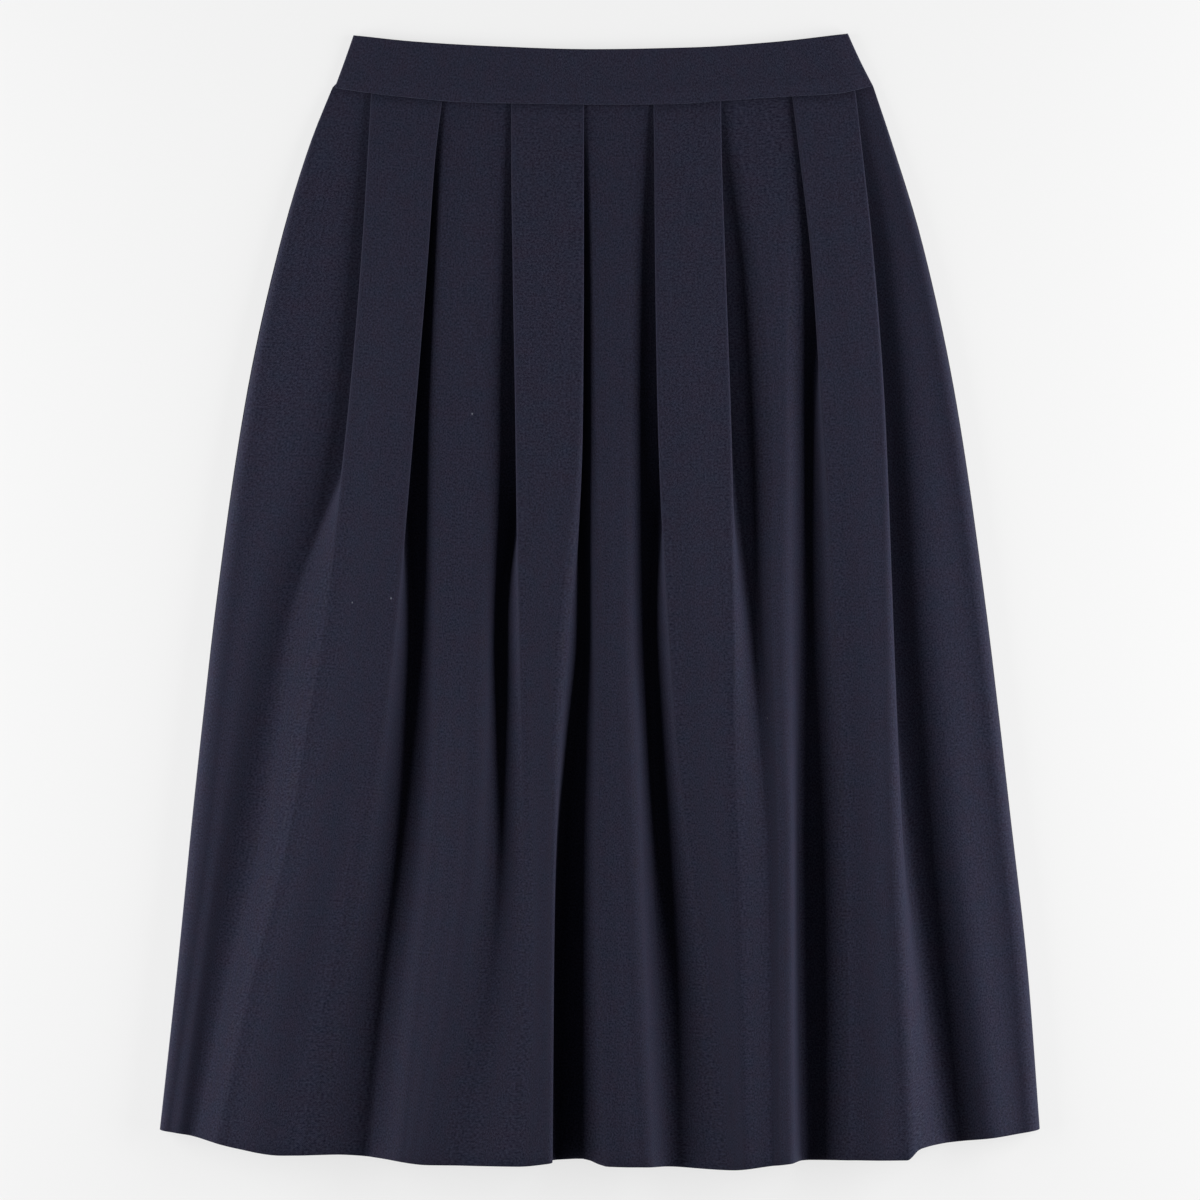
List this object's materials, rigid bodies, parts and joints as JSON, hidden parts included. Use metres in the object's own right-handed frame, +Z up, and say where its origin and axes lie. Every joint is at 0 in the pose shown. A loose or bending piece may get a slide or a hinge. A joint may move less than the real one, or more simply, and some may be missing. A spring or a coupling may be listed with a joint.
{
  "type": "pleated midi skirt",
  "caption": "Midi skirt laid flat on its back: shaped waistband, box pleats across the front that open towards the hem, plain back panel.",
  "frame": {"origin": "middle of the flat underside, centred across the skirt and between hem and waist", "axes": "+X to the right of the front as it is seen from above, +Y from the hem to the waist, +Z up from the surface the skirt lies on"},
  "size_m": [0.6278, 0.8087, 0.0336],
  "materials": {
    "skirt_cloth": "matte navy twill, fine vertical grain",
    "band_cloth": "matte navy twill, interfaced and pressed"
  },
  "bodies": {
    "root": {"skirt_front": "skirt_cloth", "skirt_back": "skirt_cloth", "waistband_front": "band_cloth", "waistband_back": "band_cloth"}
  },
  "joints": []
}
